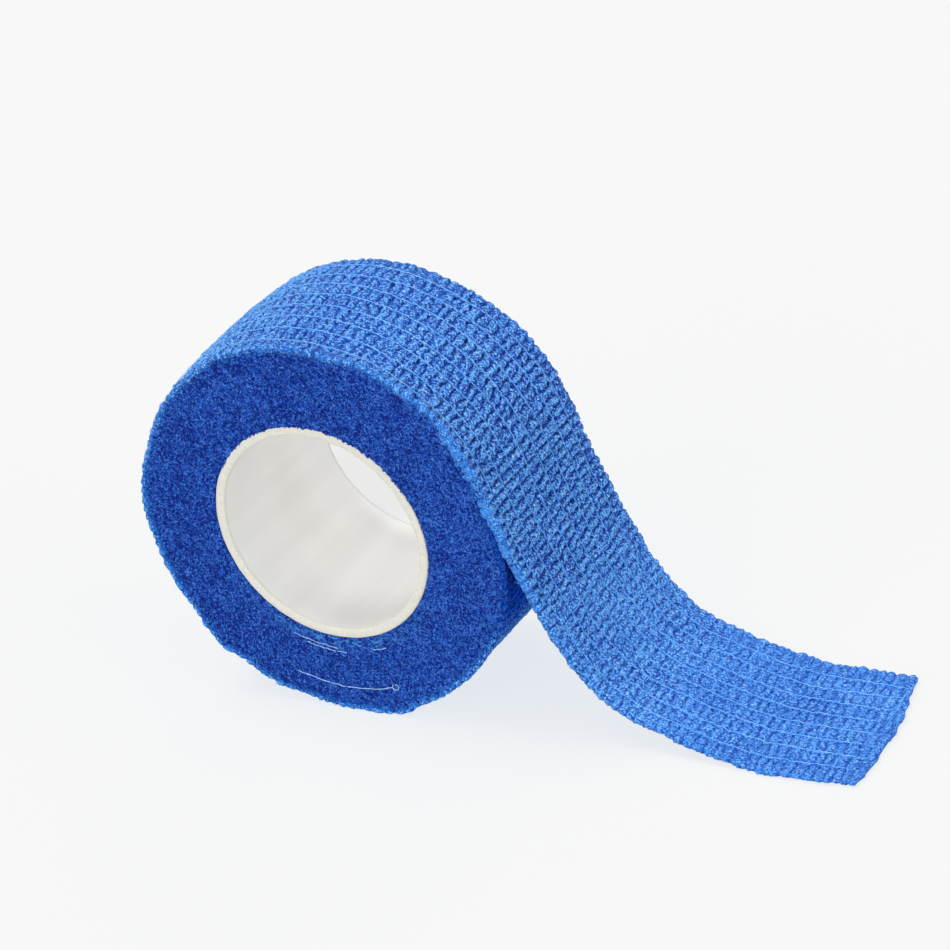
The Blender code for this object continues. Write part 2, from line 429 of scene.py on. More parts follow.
class Crinkles:
    """Height field of the cloth: puckers between the threads, creases across them and small lumps."""

    def __init__(self, cloth, route):
        self.cloth = cloth
        self.route = route
        self.seed = cloth.seed

    def thread_line(self, along, index):
        """Where a thread runs across the width."""
        cloth = self.cloth
        free = smooth_step(along / (30 * MM))
        pitch = cloth.thread_pitch_roll + (cloth.thread_pitch_end - cloth.thread_pitch_roll) * free
        place = (index - (THREADS - 1) / 2) * pitch - 0.1 * MM
        wander = 0.24 * noise(along / (14 * MM), index * 5.7, self.seed + 1)
        wiggle = 0.15 * noise(along / (1.3 * MM), index * 3.1, self.seed + 2)
        return place + (wander + wiggle) * MM

    def bands(self, along, y):
        """The band that each point is in, and how far across it the point is, from 0 to 1."""
        lines = [self.thread_line(along, index) for index in range(THREADS)]
        band = np.zeros(np.broadcast(along, y).shape, int)
        low = np.full(band.shape, -HALF_WIDTH)
        high = np.full(band.shape, HALF_WIDTH)
        for index, line in enumerate(lines):
            line = np.broadcast_to(line, band.shape)
            past = y > line
            band += past
            low = np.where(past, line, low)
            high = np.where(~past & (high == HALF_WIDTH), line, high)
        return band, np.clip((y - low) / np.maximum(high - low, 0.2 * MM), 0, 1), low, high

    def phase(self, along, band, y, seed):
        """Counts puckers along each band; neighbouring bands are only partly in step."""
        shared = 0.34 * noise(along / (7 * MM), 0.5, seed + 3)
        own = 0.46 * noise(along / (3.6 * MM), band * 7.37 + 0.5, seed + 4)
        bend = 0.22 * noise(along / (1.9 * MM), y / (1.3 * MM), seed + 5)
        slant = 0.16 * (hashed(band, 0, seed + 10) - 0.2) * y / MM
        start = 1.1 * (hashed(band, 3, seed + 6) - 0.5)
        free = 1 - np.exp(-((along / (2.5 * MM)) ** 2))
        return along / self.cloth.pucker_pitch + (shared + own + start + bend + slant) * free

    def pillow(self, along, band, y, seed):
        """Rise of a pucker and depth of the crease beside it, each from 0 to 1."""
        phase = self.phase(along, band, y, seed)
        cell = np.floor(phase)
        place = phase - cell
        size = 0.5 + 0.6 * hashed(cell, band, seed + 7)
        skew = 0.5 + 0.36 * (hashed(cell, band, seed + 8) - 0.5)
        bent = np.where(place < skew, place / (2 * skew), 0.5 + (place - skew) / (2 * (1 - skew)))
        rise = size * (1 - np.abs(2 * bent - 1) ** 2.0)
        nearest = np.where(place < 0.5, cell, cell + 1)
        cut = 0.35 + 0.65 * hashed(nearest, band, seed + 9)
        width = self.cloth.crease_width * (0.7 + 0.7 * hashed(nearest, band, seed + 11))
        gap = np.minimum(place, 1 - place) * self.cloth.pucker_pitch
        depth = cut * np.exp(-((gap / width) ** 2))
        return rise, depth

    def level_of_thread(self, along, index):
        """Height of a thread: nearly level, because it is taut over the creases."""
        rolling = noise(along / (0.95 * MM), index * 9.13 + 0.5, self.seed + 22)
        slow = noise(along / (5 * MM), index * 4.7 + 0.5, self.seed + 23)
        dipping = 0.10 * rolling - looked_up(along / MM, THREAD_SUNK)
        return self.cloth.thread_level + (dipping + 0.06 * slow) * MM

    def relief(self, along):
        """How strongly the cloth is crinkled: most on the right of the roll, least where it lies flat."""
        return self.route.by_place(along, RELIEF_ROUND, RELIEF_ALONG)

    def ease(self, along):
        """0 on the roll, where the wound cloth is stretched, to 1 where the loose end has drawn up."""
        return smooth_step((along - 2 * MM) / (26 * MM))

    def height(self, along, y, side=0):
        """Height over the middle surface. side picks another set of small lumps for the underside."""
        cloth, seed = self.cloth, self.seed
        along, y = np.broadcast_arrays(along, y)
        band, place, low, high = self.bands(along, y)
        ease = self.ease(along)
        stray = noise(along / (1.0 * MM), y / (0.9 * MM), seed + 24)
        stray_fine = noise(along / (0.42 * MM), y / (0.42 * MM), seed + 25)
        ragged = along + cloth.raggedness * (0.9 * stray + 0.45 * stray_fine)
        rise, depth = self.pillow(ragged, band, y, seed)
        edge = (band == 0) | (band == THREADS)
        arch = 1 - np.abs(2 * place - 1) ** 2.6
        outer = np.where(band == 0, 1 - place, place)
        arch = np.where(edge, 1 - (1 - outer) ** 2.6, arch)
        pucker = cloth.pucker_height * rise * (0.35 + 0.65 * arch) * (1 - 0.15 * ease)
        patch = np.clip(0.7 + 0.9 * noise(along / (1.6 * MM), y / (1.2 * MM), seed + 12), 0, 1.3)
        crease = cloth.crease_depth * depth * patch * (0.2 + 0.95 * place) * (1 - 0.5 * ease)
        left = np.where(band > 0, y - low, 1)
        right = np.where(band < THREADS, high - y, 1)
        to_thread = np.minimum(left, right)
        index = np.where(left < right, band - 1, band)
        spotty = np.clip(0.35 + 1.5 * noise(along / (1.3 * MM), y / (1.0 * MM), seed + 17), 0, 1.2)
        where = 0.45 * MM + 0.2 * MM * stray
        pit = cloth.pit_depth * depth * spotty * hump(to_thread, where, 0.32 * MM) * (1 - 0.82 * ease)
        pit = pit * np.where(left < right, 0.45, 1.2)
        across = (y + 0.12 * MM * stray) / cloth.lump_size
        around = (along + 0.12 * MM * stray_fine) / cloth.lump_size
        dome, own = cobbles(around, across, seed + 13 + side)
        lump = cloth.lump_height * (dome * (0.5 + 0.9 * own) - 0.5) * (1 - 0.25 * ease)
        dome, own = cobbles(around * 2.0, across * 2.0, seed + 14 + side)
        small = 0.6 * cloth.lump_height * (dome * (0.6 + 0.8 * own) - 0.5) * (1 - 0.20 * ease)
        swell = 0.10 * MM * noise(along / (5 * MM), y / (4 * MM), seed + 16)
        rim = np.maximum(HALF_WIDTH - np.abs(y), 0)
        hemmed = self.route.hem_depth(along) / self.route.shape.hem
        calm = 1 - 0.85 * hemmed * np.exp(-((rim / (0.95 * MM)) ** 2))
        total = (pucker - crease - pit - 0.5 * cloth.pucker_height + lump) * calm + small
        total = total * self.relief(along) + swell
        held = 0.75 * np.exp(-((to_thread / (0.15 * MM)) ** 2))
        return total * (1 - held) + held * self.level_of_thread(along, index)

    def edge_pull(self, along, near):
        """How far a long edge is drawn in: most at the creases, so that the edge is scalloped."""
        band = np.full_like(along, 0 if near else THREADS)
        y = np.full_like(along, -HALF_WIDTH if near else HALF_WIDTH)
        rise, _ = self.pillow(along, band, y, self.seed)
        wound = smooth_step(-along / (8 * MM))
        waves = [(0.13, 0.55, 20), (0.10, 0.29, 26), (0.20, 4.5, 21), (0.14, 1.7, 27)]
        waves += [(0.20 * wound, 1.15, 28)] * near
        ragged = sum(
            depth * noise(along / (size * MM), band + 0.5, self.seed + extra)
            for depth, size, extra in waves
        )
        scallop = self.cloth.edge_scallop * (1 - (0.45 if near else 0.4) * wound)
        left = smooth_step((self.route.degrees(along) - 145) / 20)
        return (scallop * (0.7 - rise) + ragged * MM * (1 - 0.2 * wound)) * (1 - 0.55 * left * near)

    def end_pull(self, y):
        """How far the cut end is drawn in across the width: ragged, with a dip at each thread."""
        ragged = 0.18 * noise(y / (1.5 * MM), 0.5, self.seed + 30)
        ragged += 0.12 * noise(y / (0.5 * MM), 0.5, self.seed + 31)
        lobe = 0.45 * hump(y, HALF_WIDTH - 0.7 * MM, 0.8 * MM)
        step = 0.30 * hump(y, -4.8 * MM, 2.6 * MM) + 0.25 * hump(y, -12.3 * MM, 1.0 * MM)
        return (ragged + step - lobe) * MM


def softened(field, reach):
    """The field blurred over a square of lattice points, reach to each side."""
    count = 2 * reach + 1
    for _ in ("down", "across"):
        summed = np.cumsum(np.pad(field, [(reach + 1, reach), (0, 0)], mode="edge"), axis=0)
        field = ((summed[count:] - summed[:-count]) / count).T
    return field


def ridges_and_hollows(height, reach, depth):
    """How far each point stands over its neighbourhood, as a share from 0, a hollow, to 1, a ridge."""
    return np.clip(0.5 + (height - softened(softened(height, reach), reach)) / depth, 0, 1)


def strip_lattice(route, crinkles, rows, columns, stride, pressed):
    """Points of a closed strip. rows is a function from the share across, 0 to 1, to lengths along.

    Returns the points, one loop of columns for each row, and for each point its height, how far it stands
    over its neighbourhood, its place on the strip, and how open it lies. pressed is how far the underside
    is flattened, by length along.
    """
    share_across = np.linspace(0, 1, columns)
    half_sheet = crinkles.cloth.sheet / 2

    def surface(across, side, offset, down=None):
        """One side of the strip, or its near or far edge where down, the share down the edge, is given."""
        along = rows(across)
        near = -HALF_WIDTH - route.outward(along) + route.narrowing(along) + crinkles.edge_pull(along, True)
        far = HALF_WIDTH - route.far_narrowing(along) - crinkles.edge_pull(along, False)
        y = near + (far - near) * across[None, :]
        height = crinkles.height(along, y, side)
        openness = np.ones_like(height)
        if side:
            openness = 1 - pressed(along)
            height = height * openness - 0.25 * MM * (1 - openness)
        rim = np.minimum(y - near, far - y)
        rolled = 0.5 * half_sheet * np.exp(-np.maximum(rim, 0) / (0.16 * MM))
        hem = route.hem_depth(along)
        curl = np.exp(-(((y - near) / (0.7 * MM)) ** 2))
        level = height + offset * (half_sheet - rolled) + route.body(along, y)
        if side:
            level = level - hem * curl
        if down is not None:
            at_near = across < 0.5
            lumpy = sum(
                0.11 * MM * noise(along / (size * MM), down[None, :] * folds + 0.3, crinkles.seed + extra)
                for size, folds, extra in ((1.1, 2.2, 41), (0.42, 4.2, 42))
            )
            thick = np.where(at_near, hem, 0)
            level = level + half_sheet / 2 - down * (half_sheet + thick)
            bulge = 0.13 * MM + (0.16 * thick + lumpy) * at_near
            y = y + np.where(at_near, -1, 1) * bulge * np.sin(math.pi * (0.12 + 0.8 * down)) ** 0.7
        points = route.points_at(along, y, level)
        return points, height, ridges_and_hollows(height, 2, 0.28 * MM), along, y, openness

    top = surface(share_across, 0, 1)
    bottom = surface(share_across[::stride], 1, -1)
    near_edge = surface(np.zeros(LIP), 0, 0, np.linspace(0.9, 0.1, LIP))
    far_edge = surface(np.array([1.0]), 0, 0, np.array([0.5]))
    parts = zip(top, far_edge, bottom, near_edge)
    return [np.concatenate([above, far, below[:, ::-1], near], 1) for above, far, below, near in parts]


def rest_on_floor(points, softness=0.12 * MM):
    """Presses what would reach through the floor flat against it."""
    z = points[..., 2]
    lift = softness * np.log1p(np.exp(np.clip(z / softness, -40, 40)))
    points[..., 2] = np.where(z < 6 * softness, lift, z)
    return points


def lattice_faces(rows, columns, wrap_rows=False):
    """Quads of a lattice whose columns close into a loop."""
    row = np.arange(rows if wrap_rows else rows - 1)
    column = np.arange(columns)
    first, second = np.meshgrid(row, column, indexing="ij")
    after = (first + 1) % rows
    beside = (second + 1) % columns
    corners = [
        first * columns + second,
        first * columns + beside,
        after * columns + beside,
        after * columns + second,
    ]
    return np.stack(corners, -1).reshape(-1, 4).tolist()


def strip_caps(rows, columns, stride, loop_length):
    """Closes both ends of a strip with a face between each lower point and the upper points over it."""
    lower_count = (columns - 1) // stride + 1
    far_middle = columns
    lip = list(range(loop_length - LIP, loop_length))

    def lower(index):
        return columns + 1 + (lower_count - 1 - index)

    cap = [[lower(0), *lip, 0], [columns - 1, far_middle, lower(lower_count - 1)]]
    for index in range(lower_count - 1):
        upper = list(range(index * stride, (index + 1) * stride + 1))
        cap.append([lower(index), *upper, lower(index + 1)])
    last = (rows - 1) * loop_length
    start = [list(face) for face in cap]
    end = [[last + corner for corner in reversed(face)] for face in cap]
    return start + end


# ---------------------------------------------------------------- meshes and materials


def linked_object(name, data):
    made = bpy.data.objects.new(name, data)
    bpy.context.scene.collection.objects.link(made)
    return made


def new_piece(name, points, faces, material, attributes=(), coordinates=None, caps=0):
    """A mesh object, smooth but for its last faces, with attributes and the cloth's UV map."""
    mesh = bpy.data.meshes.new(name)
    mesh.from_pydata(points.reshape(-1, 3).tolist(), [], faces)
    for label, values in attributes:
        layer = mesh.attributes.new(label, "FLOAT", "POINT")
        layer.data.foreach_set("value", np.asarray(values, np.float32).ravel())
    if coordinates is not None:
        corners = np.zeros(len(mesh.loops), np.int32)
        mesh.loops.foreach_get("vertex_index", corners)
        uv = mesh.uv_layers.new(name="cloth")
        uv.data.foreach_set("uv", coordinates.reshape(-1, 2)[corners].astype(np.float32).ravel())
    smooth = np.ones(len(faces), bool)
    smooth[len(faces) - caps :] = False
    mesh.polygons.foreach_set("use_smooth", smooth)
    mesh.validate()
    mesh.materials.append(material)
    return linked_object(name, mesh)


def feed(tree, socket, value):
    """Links a value that is a socket, and sets any other."""
    if isinstance(value, bpy.types.NodeSocket):
        tree.links.new(value, socket)
    else:
        socket.default_value = value


def scaled(tint, share):
    return [share * part for part in tint]


class Shader:
    """Builds a material's nodes, a line for each node."""

    def __init__(self, name):
        old = bpy.data.materials.get(name)
        if old:
            bpy.data.materials.remove(old)
        self.material = bpy.data.materials.new(name)
        self.material.use_nodes = True
        self.tree = self.material.node_tree
        self.tree.nodes.clear()
        output = self.tree.nodes.new("ShaderNodeOutputMaterial")
        self.surface = self.tree.nodes.new("ShaderNodeBsdfPrincipled")
        self.tree.links.new(self.surface.outputs[0], output.inputs["Surface"])

    def node(self, kind, *values, **named):
        """Adds a node. Plain values go to its first sockets, named ones to a setting or a socket."""
        node = self.tree.nodes.new(kind)
        for label, value in named.items():
            if hasattr(node, label):
                setattr(node, label, value)
            else:
                feed(self.tree, node.inputs[label.replace("_", " ")], value)
        for socket, value in zip(node.inputs, values):
            feed(self.tree, socket, value)
        return node

    def object_coordinates(self):
        return self.node("ShaderNodeTexCoord").outputs["Object"]

    def axes(self, vector):
        return self.node("ShaderNodeSeparateXYZ", vector).outputs

    def attribute(self, name):
        return self.node("ShaderNodeAttribute", attribute_name=name).outputs["Fac"]

    def attributes(self, *names):
        return [self.attribute(name) for name in names]

    def noise(self, vector, size, detail=2.0, roughness=0.5):
        sizes = {"Scale": 1 / size, "Detail": detail, "Roughness": roughness}
        return self.node("ShaderNodeTexNoise", Vector=vector, **sizes).outputs["Fac"]

    def cells(self, vector, size, feature="F1"):
        return self.node("ShaderNodeTexVoronoi", feature=feature, Vector=vector, Scale=1 / size).outputs

    def crackle(self, vector, size):
        """Distance from the borders between many small cells."""
        return self.cells(vector, size, "DISTANCE_TO_EDGE")["Distance"]

    def bubbles(self, vector, size):
        """Distance from the middle of the nearest of many small cells, about 0 to 0.8."""
        return self.cells(vector, size)["Distance"]

    def specks(self, vector, spacing, radius, share):
        """Small round dots, on a share of the cells."""
        made = self.cells(vector, spacing)
        reach = radius / spacing
        dot = self.spread(made["Distance"], 0.6 * reach, 1.3 * reach, 1.0, 0.0)
        red = self.node("ShaderNodeSeparateColor", made["Color"]).outputs[0]
        return self.times(dot, self.spread(red, 1 - share - 0.05, 1 - share + 0.05))

    def stretch(self, vector, scale):
        return self.node("ShaderNodeMapping", Vector=vector, Scale=scale).outputs["Vector"]

    def spread(self, value, low, high, to_low=0.0, to_high=1.0):
        """Eases from one value to another while the given one goes from low to high."""
        ends = {"From_Min": low, "From_Max": high, "To_Min": to_low, "To_Max": to_high}
        made = self.node("ShaderNodeMapRange", interpolation_type="SMOOTHSTEP", Value=value, **ends)
        return made.outputs["Result"]

    def maths(self, operation, first, *others):
        """Applies an operation to the first value and each of the others in turn."""
        for other in others:
            first = self.node("ShaderNodeMath", first, other, operation=operation).outputs[0]
        return first

    def add(self, *values):
        return self.maths("ADD", *values)

    def times(self, *values):
        return self.maths("MULTIPLY", *values)

    def mix(self, factor, first, second, blend="MIX"):
        made = self.node("ShaderNodeMix", factor, data_type="RGBA", blend_type=blend)
        for socket, value in ((made.inputs[6], first), (made.inputs[7], second)):
            feed(self.tree, socket, value if isinstance(value, bpy.types.NodeSocket) else (*value, 1))
        return made.outputs[2]

    def bump(self, height, distance, strength=1.0, **under):
        """A normal that is bumped by a height, on top of another Normal where that is given."""
        made = self.node("ShaderNodeBump", Strength=strength, Distance=distance, Height=height, **under)
        return made.outputs["Normal"]

    def finish(self, colour, roughness, **constants):
        for label, value in {"Base_Color": colour, "Roughness": roughness, **constants}.items():
            feed(self.tree, self.surface.inputs[label.replace("_", " ")], value)
        return self.material


def crinkled_cloth(colours, name, shine):
    """Blue nonwoven with painted light and shade: pale on the puckers, painted shade in the creases and
    where the loose end shades the roll, a painted highlight on the rims, painted sheen, fine fibres and
    painted glints.
    """
    shader = Shader(name)
    add, times, spread, mix = shader.add, shader.times, shader.spread, shader.mix
    place = shader.object_coordinates()
    # lift and ridge paint light on high cloth and shade in the creases; crisp sets how strong that painted
    # shading is.
    lift, ridge, crisp = shader.attributes("lift", "ridge", "crisp")
    tone_and_painted_light, under, rim = shader.attributes("tone_and_painted_light", "under", "rim")
    grain = shader.noise(place, 0.26 * MM, 3.0, 0.75)
    bubble = shader.bubbles(place, 0.38 * MM)
    wide = shader.noise(place, 9 * MM, 1.0)
    # Painted light and shade: the fine speckle lightens the tops of the small bumps and darkens their
    # borders, as their bumped normals would shade them.
    ridge = times(shader.maths("SUBTRACT", ridge, 0.5), spread(crisp, 0.5, 1.1, 0.76, 1.05))
    painted_fine_shade = add(spread(grain, 0.35, 0.65, -0.70, 0.58), spread(bubble, 0.1, 0.75, 0.14, -0.26))
    shade = add(times(lift, 0.35), ridge, 0.39, times(painted_fine_shade, crisp))
    shade = add(shade, spread(wide, 0.3, 0.7, -0.05, 0.05), tone_and_painted_light)
    # Painted light on the crests and painted shade in the creases, through the hollow, middle and crest
    # colours.
    low = mix(spread(shade, 0.05, 0.60), colours.hollow, colours.middle)
    body = mix(spread(shade, 0.45, 1.10), low, colours.crest)
    # Pale fibres, shown more where the cloth is painted lighter, and painted glints.
    thin = spread(shader.crackle(place, 0.36 * MM), 0.0, 0.12, 1.0, 0.0)
    pale = times(thin, spread(shade, 0.55, 1.05, 0.0, 0.5))
    painted_glints = shader.specks(place, 0.28 * MM, 0.08 * MM, 0.32)
    painted_glints = times(painted_glints, spread(shade, 0.3, 0.8, 0.05, 1.0), crisp)
    pale = shader.maths("MAXIMUM", pale, painted_glints)
    # Painted highlight along the rims.
    body = mix(times(rim, spread(grain, 0.38, 0.58, 0.6, 1.0)), body, colours.rim)
    # Painted sheen: the cloth turns paler where the tone is highest.
    body = mix(spread(tone_and_painted_light, 0.17, 0.25, 0.0, 0.15), body, colours.fleck)
    # Painted shade under the loose end: the cloth there turns to the side colours, darker in its creases,
    # with fewer pale fibres and glints.
    inside = spread(shader.axes(place)[1], 0.4 * MM - HALF_WIDTH, 4 * MM - HALF_WIDTH)
    shaded = mix(inside, colours.side_middle, colours.under)
    shaded = mix(spread(shade, -0.1, 0.7), colours.side_deep, shaded)
    body = mix(under, body, shaded)
    pale = times(pale, spread(under, 0.0, 1.0, 1.0, 0.3))
    body = mix(pale, body, colours.fleck)
    fine = shader.noise(place, 0.12 * MM, 2.0, 0.7)
    normal = shader.bump(bubble, -0.16 * MM, 0.9)
    normal = shader.bump(grain, 0.26 * MM, 1.0, Normal=normal)
    normal = shader.bump(fine, 0.10 * MM, 1.0, Normal=normal)
    normal = shader.bump(thin, 0.05 * MM, 0.6, Normal=normal)
    sheen = {"Sheen_Weight": 0.20 * shine, "Sheen_Roughness": 0.4, "Sheen_Tint": (0.42, 0.68, 1.0, 1)}
    gloss = {"Specular_IOR_Level": 0.16 * shine, "Specular_Tint": (0.5, 0.75, 1.0, 1)}
    return shader.finish(body, 0.55, Normal=normal, **gloss, **sheen)


def wound_edge(colours):
    """The side faces: deep blue felt of wound edges, with paler fibre ends. The felt has painted shade in
    its hollows, painted light on its tufts and towards +X, painted glints, a painted highlight along the
    rim and painted highlights on pale arcs by the core.
    """
    shader = Shader("wound_edge")
    add, times, spread, mix = shader.add, shader.times, shader.spread, shader.mix
    place = shader.object_coordinates()
    lift, ridge, rim, fringe_highlight_mask = shader.attributes("lift", "ridge", "rim", "core_fringe_highlight")
    bend = shader.node("ShaderNodeTexNoise", Vector=place, Scale=1 / (0.5 * MM), Detail=1.0)
    moved = (bend.outputs["Color"], (0.3 * MM, 0.3 * MM, 0.3 * MM), place)
    warped = shader.node("ShaderNodeVectorMath", *moved, operation="MULTIPLY_ADD").outputs[0]
    grain = shader.noise(warped, 0.27 * MM, 3.0, 0.75)
    patch = shader.noise(place, 2.6 * MM, 2.0)
    clump = shader.noise(warped, 0.75 * MM, 1.0)
    # Painted light and shade: lighter on raised tufts, darker in the hollows, with the fine grain that also
    # bumps the normals.
    shade = add(times(lift, 0.25), times(ridge, 0.70), spread(clump, 0.3, 0.7, -0.26, 0.22))
    shade = add(shade, spread(grain, 0.35, 0.65, -0.70, 0.66), spread(patch, 0.3, 0.7, -0.12, 0.12))
    # Lighter towards +X: painted light.
    shade = add(shade, spread(shader.axes(place)[0], -0.02, 0.03, 0.0, 0.12))
    body = mix(spread(shade, 0.0, 0.85), colours.side_deep, colours.side_middle)
    lines = spread(shader.crackle(warped, 0.36 * MM), 0.0, 0.15, 1.0, 0.0)
    seen = times(lines, spread(shade, 0.45, 1.05, 0.0, 0.6))
    # Painted glints on the side faces.
    painted_glints = times(shader.specks(warped, 0.28 * MM, 0.08 * MM, 0.42), spread(shade, 0.2, 0.8, 0.15, 0.9))
    seen = shader.maths("MAXIMUM", seen, painted_glints)
    # Painted highlight along the rim of the side face.
    body = mix(times(rim, spread(grain, 0.38, 0.58, 0.5, 1.0)), body, colours.rim)
    body = mix(seen, body, colours.side_fibre)
    # Painted highlights on the arcs by the core.
    body = mix(fringe_highlight_mask, body, colours.crest)
    fine = shader.noise(place, 0.12 * MM, 2.0, 0.7)
    normal = shader.bump(grain, 0.28 * MM, 1.0)
    normal = shader.bump(lines, 0.05 * MM, 0.6, Normal=normal)
    normal = shader.bump(fine, 0.06 * MM, 0.8, Normal=normal)
    return shader.finish(body, 0.7, Normal=normal, Specular_IOR_Level=0.10)


def filament(name, tint, under=None):
    """A thin pale filament. Where its pale attribute is low it takes the colour under it, if given."""
    shader = Shader(name)
    streak = shader.noise(shader.object_coordinates(), 0.5 * MM, 1.0)
    body = shader.mix(shader.spread(streak, 0.35, 0.65), scaled(tint, 0.72), tint)
    if under is not None:
        body = shader.mix(shader.attribute("pale"), under, body)
    return shader.finish(body, 0.5, Specular_IOR_Level=0.2)


def core_plastic(colours):
    """Off-white tube: a smooth bore with faint streaks along it and a rougher cream rim. The streaks in the
    bore's colour are painted reflections, and the bore is painted lighter and darker by place for how the
    light falls in it.
    """
    shader = Shader("core_plastic")
    times, spread, mix = shader.times, shader.spread, shader.mix
    place = shader.object_coordinates()
    rim = shader.attribute("rim")
    streak = shader.noise(shader.stretch(place, (1, 0.05, 1)), 2.6 * MM, 2.0)
    cloud = shader.noise(place, 7 * MM, 2.0)
    # Painted reflection streaks along the bore; the same streaks also vary the bump and the roughness.
    warm = mix(spread(streak, 0.35, 0.68), scaled(colours.core, 0.96), colours.core)
    warm = mix(spread(cloud, 0.35, 0.7, 0.0, 0.3), warm, scaled(colours.core, 0.92))
    # Painted light and shade on the bore: lighter towards -X and low down, darker at the near opening and
    # towards the far end.
    x, y, z = shader.axes(place)
    across = spread(x, -11.5 * MM, -2 * MM, 1.08, 0.93)
    painted_shade_near_end = spread(y, -HALF_WIDTH, -1 * MM, 0.81, 1.05)
    painted_light_low = spread(z, AXIS_HEIGHT - CORE_RADIUS, AXIS_HEIGHT, 1.04, 0.98)
    painted_shade_far_end = spread(y, 5 * MM, HALF_WIDTH, 1.0, 0.84)
    level = times(across, painted_shade_near_end, painted_light_low, painted_shade_far_end)
    warm = mix(1.0, warm, shader.node("ShaderNodeCombineColor", level, level, level).outputs[0], "MULTIPLY")
    grain = shader.noise(place, 0.35 * MM, 3.0, 0.6)
    cream = mix(spread(grain, 0.3, 0.7), scaled(colours.core_rim, 0.88), colours.core_rim)
    normal = shader.bump(times(grain, rim), 0.15 * MM, 0.6)
    normal = shader.bump(streak, 0.12 * MM, 0.2, Normal=normal)
    gloss = shader.add(spread(streak, 0.3, 0.7, 0.3, 0.42), times(rim, 0.3))
    return shader.finish(mix(rim, warm, cream), gloss, Normal=normal, Specular_IOR_Level=0.4)


def plain_floor(colours):
    """Pale matt floor, lit a little from below as on a light table, so that shadows on it stay faint. Its
    glow is dimmed in a patch behind the roll: a painted shadow.
    """
    shader = Shader("plain_floor")
    place = shader.object_coordinates()
    body = shader.mix(shader.noise(place, 0.4, 1.0), colours.floor, scaled(colours.floor, 0.995))
    # Painted shadow: the glow dims in a patch on the floor behind the roll.
    behind = shader.node("ShaderNodeVectorMath", place, SHADE_BEHIND, operation="DISTANCE")
    open_floor = shader.spread(behind.outputs["Value"], 8 * MM, 22 * MM)
    glow = shader.mix(open_floor, scaled(colours.floor_glow, 0.865), colours.floor_glow)
    return shader.finish(body, 0.9, Specular_IOR_Level=0.0, Emission_Color=glow, Emission_Strength=1.0)


def placed(piece, slot, *nodes):
    """Every piece rides on the one body and stands for its nodes, which it hides. The slot argument is not
    used.
    """
    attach(piece, "root")
    if nodes:
        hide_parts(*nodes)
    return piece


# ---------------------------------------------------------------- the pieces


class BANDAGE_OT_core(bpy.types.Operator):
    """Adds the core tube, with a slightly uneven cut rim"""

    bl_idname = "bandage.core"
    bl_label = "Core Tube"

    def execute(self, context):
        colours = context.scene.bandage_colours
        wall = 1.25 * MM
        rows = 240
        around = np.linspace(0, math.tau, rows, endpoint=False)
        inner = CORE_RADIUS - wall
        corner = 0.22 * MM
        outer_corner = 0.10 * MM
        end = HALF_WIDTH - 0.1 * MM
        far_half = [
            (CORE_RADIUS, end * 0.5, 0),
            (CORE_RADIUS, end - outer_corner, 1),
            (CORE_RADIUS - outer_corner, end, 1),
            (inner + wall * 0.65, end + 0.02 * MM, 1),
            (inner + wall * 0.35, end + 0.02 * MM, 1),
            (inner + corner, end, 1),
            (inner + corner * 0.3, end - corner * 0.3, 1),
            (inner, end - corner, 0.8),
            (inner, end - corner * 3, 0),
            (inner, end * 0.33, 0),
        ]
        near_half = [(radius, -y, rim) for radius, y, rim in reversed(far_half)]
        outline = near_half[4:] + far_half + near_half[:4]
        radius, y, rim = (np.array(part)[None, :] for part in zip(*outline))
        bore_side = radius < CORE_RADIUS - wall * 0.5
        narrowing = 0.6 * MM
        radius = radius - narrowing * bore_side * smooth_step((y + 0.3 * end) / (1.3 * end))
        turn = around[:, None]
        uneven = 0.09 * noise(np.cos(turn) * 5, np.sin(turn) * 5, 51)
        uneven = uneven + 0.05 * noise(np.cos(turn) * 19, np.sin(turn) * 19, 52)
        radius = radius + np.where(bore_side, uneven * MM * rim, 0)
        y = y + np.sign(y) * rim * 0.07 * MM * noise(np.cos(turn) * 8, np.sin(turn) * 8, 53)
        points = round_axis(radius, turn, y)
        faces = lattice_faces(rows, len(outline), wrap_rows=True)
        rims = np.broadcast_to(rim, points.shape[:2])
        piece = new_piece("core_ring", points, faces, core_plastic(colours), [("rim", rims)])
        placed(piece, "core", "core_tube")
        return {"FINISHED"}


def face_relief(radius, around, seed, shape):
    """Relief of a side face: felt of fibre ends, with a faint ridge for each wound turn."""
    turns = (radius - CORE_RADIUS) / shape.turn_pitch - around / math.tau
    layer = np.floor(turns)
    ridge = np.sin(math.pi * (turns - layer)) ** 0.6
    along = (layer * math.tau + around) * radius
    own = noise(along / (6 * MM), layer * 1.7 + 0.5, seed)
    x, z = radius * np.cos(around) / MM, radius * np.sin(around) / MM
    bend_x = x + 0.25 * noise(x / 0.8, z / 0.8, seed + 4)
    bend_z = z + 0.25 * noise(x / 0.8, z / 0.8, seed + 5)
    tuft = np.abs(noise(bend_x / 0.62, bend_z / 0.62, seed + 1)) - 0.33
    grain = noise(bend_x / 0.40, bend_z / 0.40, seed + 2)
    wave = noise(x / 5, z / 5, seed + 3)
    return MM * (0.16 + 0.05 * ridge + 0.07 * own + 0.30 * tuft + 0.14 * grain + 0.10 * wave)


